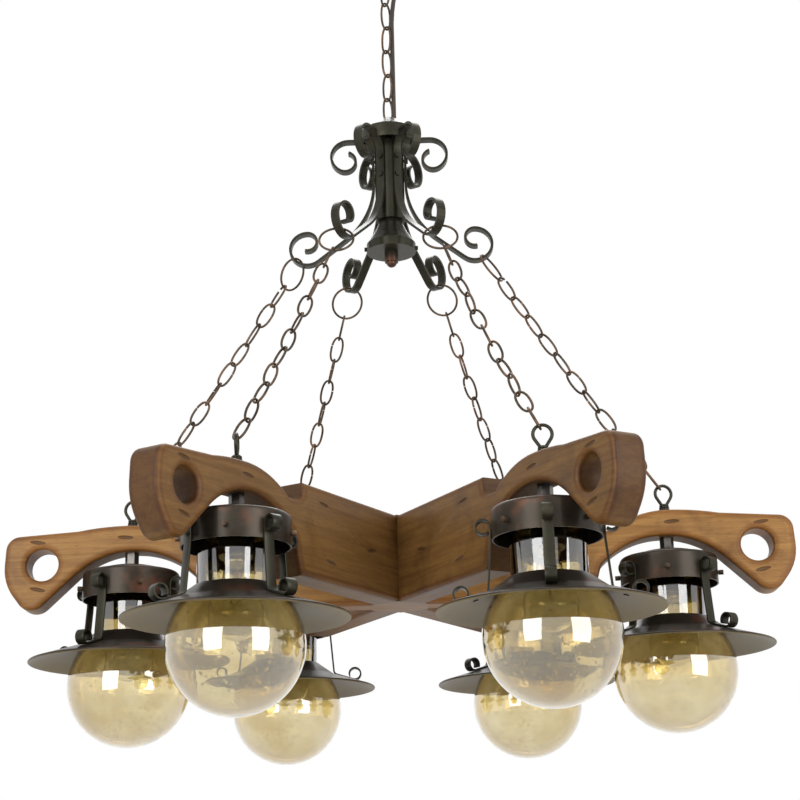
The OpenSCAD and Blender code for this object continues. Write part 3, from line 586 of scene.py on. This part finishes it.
bolt = eye_bolt()
eyes = []
for i in range(ARMS):
    place = Vector(arm_place(i, LAMP_REACH, eye_z))
    turn = (0, 0, math.radians(i * ARM_STEP + EYE_TURNS[i]))
    eyes.append(placed_copy(bolt, f"eye_bolt_{i + 1}", place, turn))
eyes = joined(eyes, "eye_bolts")
give(eyes, black_iron)
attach(eyes, "frame")
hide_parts("arm_eye_bolts")
discard(bolt)


# ---------- wooden arms ----------
ARM_T = 40
CORE_FACE = 34.64
ROUNDING = 5.0
ROUND_STEPS = 4
SOFT_BAND = 3.2
HOLE_CENTRE = (444, 62.5)
HOLE_R = 20
# half the length, depth and height of the gouges' cutter, and how far its middle stands off the face
GOUGE_HALF = (11, 1.9, 2.6)
GOUGE_OUT = 0.6
# lens-shaped gouge marks, as [along the arm, height, lean]
GOUGES = [(340, 94, 4), (450, 90.5, 8), (448, 31, 12), (195, 89, 6), (93, 52.6, -10), (181, 24, 8)]
BURIED = 10
# each arm's stain is made lighter or darker to paint the light and shade that fall on it: the side arms are
# painted the lightest, the front ones the darkest
ARM_LIGHT_SHADE_TONES = [1.55, 1.0, 1.0, 1.45, 0.80, 0.78]


def arm_outline():
    """Side view of an arm, from the wheel's axis out, with its bottom at zero."""
    return ([(CORE_FACE - BURIED, 0), (238, 0)]
            + arc(330, 77.3 - 107, 107, 138.4, 45, 26)
            + arc(456, 26, 20, 225, 315, 9)
            + arc(431.5, 60, 60, -37, 3, 6)
            + arc(472.5, 81.5, 18, 5, 86, 8)
            + arc(337, 110 - 350, 350, 79.6, 90, 5)
            + arc(337, 110 - 127, 127, 90, 126.2, 10)
            + arc(246, 96, 10, 270, 180, 6)
            + [(234, 108), (CORE_FACE - BURIED, 108)])


def close_line(piece):
    """Joins the ends of a traced line that starts and ends at different points."""
    bpy.ops.mesh.select_all(action="SELECT")
    bpy.ops.mesh.remove_doubles(threshold=0.05 * MM)
    bpy.ops.mesh.select_all(action="DESELECT")
    mesh = bmesh.from_edit_mesh(piece.data)
    for v in mesh.verts:
        v.select = len(v.link_edges) == 1
    mesh.select_flush_mode()
    bmesh.update_edit_mesh(piece.data)
    bpy.ops.mesh.edge_face_add()


def make_arm():
    """One arm: its outline with the round hole, thickened, with rounded edges and gouges."""
    arm = traced("arm_half", arm_outline())
    close_line(arm)
    leave_edit()
    deselect()
    bpy.ops.mesh.primitive_circle_add(vertices=48, radius=HOLE_R * MM, fill_type="NOTHING",
                                      location=(HOLE_CENTRE[0] * MM, 0, HOLE_CENTRE[1] * MM),
                                      rotation=(math.radians(90), 0, 0))
    hole = bpy.context.object
    settle(hole)
    arm = joined([arm, hole], "wooden_arm")
    edit_all(arm)
    bpy.ops.mesh.fill(use_beauty=True)
    bpy.ops.mesh.select_all(action="SELECT")
    bpy.ops.mesh.normals_make_consistent(inside=False)
    leave_edit()
    # thickened on one side of its middle plane, then mirrored
    if arm.data.polygons[0].normal.y > 0:
        edit_all(arm)
        bpy.ops.mesh.flip_normals()
        leave_edit()
    edit_all(arm)
    flat = ARM_T / 2 - ROUNDING
    for step in (flat - SOFT_BAND, SOFT_BAND):
        bpy.ops.mesh.extrude_region_move(TRANSFORM_OT_translate={"value": (0, -step * MM, 0)})
    for k in range(ROUND_STEPS):
        a, b = math.pi / 2 * k / ROUND_STEPS, math.pi / 2 * (k + 1) / ROUND_STEPS
        bpy.ops.mesh.inset(thickness=ROUNDING * (math.cos(a) - math.cos(b)) * MM, depth=0,
                           use_boundary=True, use_even_offset=True)
        bpy.ops.transform.translate(value=(0, -ROUNDING * (math.sin(b) - math.sin(a)) * MM, 0))
    bpy.ops.mesh.inset(thickness=SOFT_BAND * MM, depth=0, use_boundary=True, use_even_offset=True)
    leave_edit()
    edit_all(arm)
    bpy.ops.mesh.select_all(action="DESELECT")
    mesh = bmesh.from_edit_mesh(arm.data)
    for f in mesh.faces:
        f.select = all(abs(v.co.y) < 1e-6 for v in f.verts)
    bmesh.update_edit_mesh(arm.data)
    bpy.ops.mesh.delete(type="FACE")
    leave_edit()
    only(arm)
    bpy.ops.object.modifier_add(type="MIRROR")
    mirror = arm.modifiers[-1]
    mirror.use_axis = (False, True, False)
    mirror.merge_threshold = 0.01 * MM
    bpy.ops.object.modifier_apply(modifier=mirror.name)
    edit_all(arm)
    bpy.ops.mesh.normals_make_consistent(inside=False)
    bpy.ops.mesh.select_all(action="SELECT")
    bpy.ops.mesh.bisect(plane_co=((CORE_FACE + CONTACT / 2) * MM, 0, 0), plane_no=(1, 0, 0),
                        clear_inner=True, use_fill=True)
    leave_edit()
    cut_gouges(arm)
    return arm


def cut_gouges(arm):
    """Cuts the lens marks into both faces, about 1.3 mm deep, with one Boolean."""
    cutters = []
    for along, height, lean in GOUGES:
        for side in (-1, 1):
            deselect()
            bpy.ops.mesh.primitive_uv_sphere_add(
                segments=24, ring_count=12, radius=1,
                location=(along * MM, side * (ARM_T / 2 + GOUGE_OUT) * MM, height * MM),
                rotation=(0, math.radians(-lean), 0), scale=[half * MM for half in GOUGE_HALF])
            cutter = bpy.context.object
            settle(cutter)
            cutters.append(cutter)
    cutter = joined(cutters, "gouge_cutter")
    only(arm)
    bpy.ops.object.modifier_add(type="BOOLEAN")
    cut = arm.modifiers[-1]
    cut.operation = "DIFFERENCE"
    cut.object = cutter
    cut.solver = "MANIFOLD"
    bpy.ops.object.modifier_apply(modifier=cut.name)
    discard(cutter)


def distance_to_outline(point, line):
    """Shortest distance in millimetres from a point of the side view to the closed outline."""
    best = 1e9
    for a, b in zip(line, line[1:] + line[:1]):
        run = Vector(b) - Vector(a)
        t = max(0, min(1, (Vector(point) - Vector(a)).dot(run) / max(run.length_squared, 1e-9)))
        best = min(best, (Vector(a) + run * t - Vector(point)).length)
    return best


def mark_wood(arm):
    """Paints where the edges are rubbed, where the gouges hold dark wax and where end grain shows."""
    line = arm_outline()
    edge = arm.data.attributes.new("edge", "FLOAT", "POINT")
    hollow = arm.data.attributes.new("hollow", "FLOAT", "POINT")
    end_grain = arm.data.attributes.new("end_grain", "FLOAT", "POINT")
    for k, v in enumerate(arm.data.vertices):
        x, y, z = (c / MM for c in v.co)
        faces_along = max(0, min(1, (abs(v.normal.x) - 0.45) / 0.3))
        end_grain.data[k].value = faces_along if abs(y) < ARM_T / 2 - 2 else 0.0
        to_hole = abs(math.hypot(x - HOLE_CENTRE[0], z - HOLE_CENTRE[1]) - HOLE_R)
        rim = min(distance_to_outline((x, z), line), to_hole)
        face_band = abs(y) > ARM_T / 2 - 0.01 and rim > ROUNDING + 0.5
        side_band = abs(y) < ARM_T / 2 - ROUNDING - 0.5
        edge.data[k].value = 0.0 if face_band or side_band else 1.0
        deep = ARM_T / 2 - abs(y) > 0.05
        hollow.data[k].value = 0.7 if deep and rim > ROUNDING + 1 else 0.0


arm = make_arm()
mark_wood(arm)
smooth(arm, 40)
for i in range(ARMS):
    copy = placed_copy(arm, f"wooden_arm_{i + 1}", (0, 0, wheel_z * MM), (0, 0, math.radians(i * ARM_STEP)))
    # each arm's tone paints the light and shade that fall on that arm
    give(copy, stained_wood(i + 1, i * ARM_STEP, ARM_LIGHT_SHADE_TONES[i]))
    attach(copy, "frame")
    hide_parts(f"wheel_arm_{i + 1}")
discard(arm)


# ---------- lamps ----------
def globe_profile():
    """Closed outline of the blown globe's wall, from the bottom up outside and down inside."""
    meet = math.degrees(math.acos(NECK_R / GLOBE_R))
    inner_r, inner_neck = GLOBE_R - GLASS_T, NECK_R - GLASS_T
    meet_in = math.degrees(math.acos(inner_neck / inner_r))
    lip = 4
    return (arc(0, 0, GLOBE_R, -90, meet - 1, 44) + [(NECK_R, 64), (NECK_R, 122.5)]
            + arc(NECK_R + lip - 1.25, 123.75, 1.25, -90, 90, 5)
            + [(inner_neck, 125), (inner_neck, 61)] + arc(0, 0, inner_r, meet_in - 1, -90, 44))


SHADE_HOLE_R, SHADE_TOP_Z = 44.5, 63.2
BRIM = (123, 29.5)
# the bulb's wires: two leads, and a loose coil that sags between them
LEAD_WIRE, COIL_WIRE = 0.6, 0.5
COIL_HALF, COIL_Z, COIL_SAG, COIL_R = 9, 48, 4, 1.2
# radians from one point of the coil to the next
COIL_STEPS, COIL_TURN = 48, 1.3


def shade_profile():
    """Closed outline of the spun shade: collar, knee, brim and its rolled edge."""
    top = [(SHADE_HOLE_R, SHADE_TOP_Z), (52, 57.8), (60, 52.2), (65.2, 48.4), (68.2, 46.55), (71.5, 45.3),
           (90, 39.6), (110, 33.5), (BRIM[0] - 1.4, BRIM[1] + 0.5)]
    bead = arc(BRIM[0] - 1.5, BRIM[1] - 1.1, 1.5, 75, -115, 8)
    under = [(110, 32.1), (90, 38.2), (71.2, 43.9), (67.5, 45.2), (64.4, 47.1), (59.2, 50.9), (51.3, 56.4),
             (SHADE_HOLE_R, SHADE_TOP_Z - 1.4)]
    return top + bead + under + [top[0]]


def bulb_profile():
    """Wall of a clear 60 mm bulb, outside and then inside."""
    neck = [(14.2, 84), (13.2, 89), (12.6, 92)]
    outside = arc(0, 35, 30, -90, 28, 24) + [(20.5, 62), (16.5, 73)] + neck
    inside = [(11.9, 92), (12.5, 89), (13.5, 84), (15.8, 73), (19.8, 61.6)] + arc(0, 35, 29.3, 27, -90, 24)
    return outside + inside


def screw_cap_profile():
    """The bulb's screw cap with its rolled thread, and the contact on top."""
    profile = [(0, 90.5), (12.4, 90.5), (12.9, 91.5)]
    for k in range(6):
        profile += [(13.0, 94 + 3.6 * k), (12.3, 95.8 + 3.6 * k)]
    return profile + [(12.6, 116), (9, 118.5), (5, 119.5), (4.6, 121.6), (0, 121.8)]


globe = turned("globe", globe_profile(), 96)
smooth(globe, 50)
shade = turned("shade", shade_profile(), 96)
smooth(shade, 30)
give(shade, dark_bronze, shade_inside)
for face in shade.data.polygons:
    face.material_index = 1 if face.normal.z < -0.2 else 0
bulb = turned("bulb", bulb_profile(), 48)
smooth(bulb, 50)
bulb_cap = turned("bulb_cap", screw_cap_profile(), 48)
smooth(bulb_cap, 50)


def filament_parts():
    """The two leads and the filament hung between them."""
    lead_a = wire_piece("lead_a", [(-2, 0, 90), (-2.5, 0, 66), (-COIL_HALF, 0, COIL_Z)], LEAD_WIRE)
    lead_b = wire_piece("lead_b", [(2, 0, 90), (2.5, 0, 66), (COIL_HALF, 0, COIL_Z)], LEAD_WIRE)
    loops = []
    for k in range(COIL_STEPS + 1):
        along = -COIL_HALF + 2 * COIL_HALF * k / COIL_STEPS
        sag = COIL_SAG * math.sin(math.pi * k / COIL_STEPS)
        a = k * COIL_TURN
        loops.append((along, COIL_R * math.cos(a), COIL_Z - sag + COIL_R * math.sin(a)))
    coil = wire_piece("coil", loops, COIL_WIRE)
    return joined([lead_a, lead_b, coil], "filament")


filament = filament_parts()
smooth(filament, 60)

for i in range(ARMS):
    body = f"lamp_{i + 1}"
    centre = arm_place(i, LAMP_REACH, lamp_z)
    turn = (0, 0, math.radians(LAMP_TURNS[i]))
    for piece, name, node, finish, slot in (
            (globe, "amber_globe", "glass_globe", amber_glass, "amber_glass"),
            (shade, "spun_shade", "lamp_shade", None, "dark_bronze_paint"),
            (bulb, "bulb_glass", "lamp_bulb", bulb_glass, "opal_glass"),
            (bulb_cap, "bulb_screw_cap", "lamp_bulb", nickel_cap, "grey_steel"),
            (filament, "bulb_filament", "lamp_bulb", filament_wire, "grey_steel")):
        copy = placed_copy(piece, f"{name}_{i + 1}", centre, turn)
        if finish:
            give(copy, finish)
        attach(copy, body)
        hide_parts(f"{node}_{i + 1}")
for piece in (globe, shade, bulb, bulb_cap, filament):
    discard(piece)


# ---------- lamp ironwork ----------
STRAP_EASE = 0.4
# middle of the gallery screws above the lamp's own middle, and how far from it a face is still a screw's
SCREW_Z, SCREW_REACH = 118, 3.3


def softened_ironwork(i):
    """The bent straps with their edges eased, and worn copper screws in the cap's band."""
    node = nodes[f"lamp_ironwork_{i + 1}"]
    only(node)
    bpy.ops.object.duplicate(linked=False)
    straps = bpy.context.object
    straps.name = f"eased_straps_{i + 1}"
    edit_all(straps)
    bpy.ops.mesh.remove_doubles(threshold=MERGE)
    bpy.ops.mesh.tris_convert_to_quads()
    leave_edit()
    bpy.ops.object.modifier_add(type="BEVEL")
    ease = straps.modifiers[-1]
    ease.width = STRAP_EASE * MM
    ease.segments = 2
    ease.limit_method = "ANGLE"
    ease.angle_limit = math.radians(50)
    bpy.ops.object.modifier_apply(modifier=ease.name)
    smooth(straps, 35)
    give(straps, black_iron, copper_brown)
    centre = Vector(arm_place(i, LAMP_REACH, lamp_z))
    back = Matrix.Rotation(-math.radians(LAMP_TURNS[i] + 45), 3, "Z")
    for face in straps.data.polygons:
        x, y, z = (back @ (face.center - centre)) / MM
        on_screw = min(abs(x), abs(y)) < SCREW_REACH and abs(z - SCREW_Z) < SCREW_REACH
        face.material_index = 1 if on_screw else 0
    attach(straps, f"lamp_{i + 1}")
    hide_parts(f"lamp_ironwork_{i + 1}")


for i in range(ARMS):
    softened_ironwork(i)


# ---------- floor, backdrop and light ----------
FLOOR_BELOW_LAMPS, FLOOR_R = 700, 9000
# share of plain white in what the camera sees of the floor; the rest keeps the shadows
FLOOR_WHITE = 0.7
ROOM_LIGHT = 0.25
# soft boxes as [name, azimuth, elevation], all of one size and power and as far from the lamps
SOFT_BOXES = [("soft_box_left", -30, 12), ("soft_box_right", 42, 9), ("soft_box_back", 180, 60)]
SOFT_BOX_FAR, SOFT_BOX_W, SOFT_BOX_H = 2800, 1400, 2400
SOFT_BOX_WATTS = 40


def set_stage():
    """A pale floor, a white world behind, and soft boxes beside the camera and above the back."""
    deselect()
    floor_z = (lamp_z - FLOOR_BELOW_LAMPS) * MM
    bpy.ops.mesh.primitive_circle_add(vertices=96, radius=FLOOR_R * MM, fill_type="NGON",
                                      location=(0, 0, floor_z))
    floor = bpy.context.object
    floor.name = "floor"
    material, tree, out, place = new_material("pale_floor")
    light_path = add_node(tree, "ShaderNodeLightPath").outputs
    seen = add_node(tree, "ShaderNodeMath", {"operation": "MAXIMUM"},
                    {0: light_path["Is Glossy Ray"], 1: light_path["Is Transmission Ray"]}).outputs[0]
    camera = add_node(tree, "ShaderNodeMath", {"operation": "MULTIPLY", 1: FLOOR_WHITE},
                      {0: light_path["Is Camera Ray"]}).outputs[0]
    seen = add_node(tree, "ShaderNodeMath", {"operation": "MAXIMUM"}, {0: seen, 1: camera}).outputs[0]
    paint = add_node(tree, "ShaderNodeBsdfDiffuse", {"Color": linear("#F2F2F0")}).outputs[0]
    white = add_node(tree, "ShaderNodeEmission", {"Color": (1, 1, 1, 1), "Strength": 1.0}).outputs[0]
    mixed = add_node(tree, "ShaderNodeMixShader", links={0: seen, 1: paint, 2: white}).outputs[0]
    tree.links.new(mixed, out.inputs["Surface"])
    give(floor, material)

    world = bpy.data.worlds.new("white_studio")
    world.use_nodes = True
    bpy.context.scene.world = world
    tree = world.node_tree
    tree.nodes.clear()
    out = add_node(tree, "ShaderNodeOutputWorld")
    light_path = add_node(tree, "ShaderNodeLightPath").outputs
    seen = add_node(tree, "ShaderNodeMath", {"operation": "MAXIMUM"},
                    {0: light_path["Is Camera Ray"], 1: light_path["Is Glossy Ray"]}).outputs[0]
    seen = add_node(tree, "ShaderNodeMath", {"operation": "MAXIMUM"},
                    {0: seen, 1: light_path["Is Transmission Ray"]}).outputs[0]
    room = add_node(tree, "ShaderNodeBackground",
                    {"Color": linear("#FFFFFF"), "Strength": ROOM_LIGHT}).outputs[0]
    white = add_node(tree, "ShaderNodeBackground", {"Color": (1, 1, 1, 1), "Strength": 1.0}).outputs[0]
    mixed = add_node(tree, "ShaderNodeMixShader", links={0: seen, 1: room, 2: white}).outputs[0]
    tree.links.new(mixed, out.inputs["Surface"])

    middle = Vector((0, 0, lamp_z * MM))
    for name, azimuth, elevation in SOFT_BOXES:
        a, e = math.radians(azimuth), math.radians(elevation)
        away = Vector((math.sin(a) * math.cos(e), -math.cos(a) * math.cos(e), math.sin(e)))
        place = middle + SOFT_BOX_FAR * MM * away
        bpy.ops.object.light_add(type="AREA", location=place)
        light = bpy.context.object
        light.name = name
        light.rotation_euler = (place - middle).to_track_quat("Z", "Y").to_euler()
        light.data.shape = "RECTANGLE"
        light.data.size = SOFT_BOX_W * MM
        light.data.size_y = SOFT_BOX_H * MM
        light.data.energy = SOFT_BOX_WATTS


set_stage()
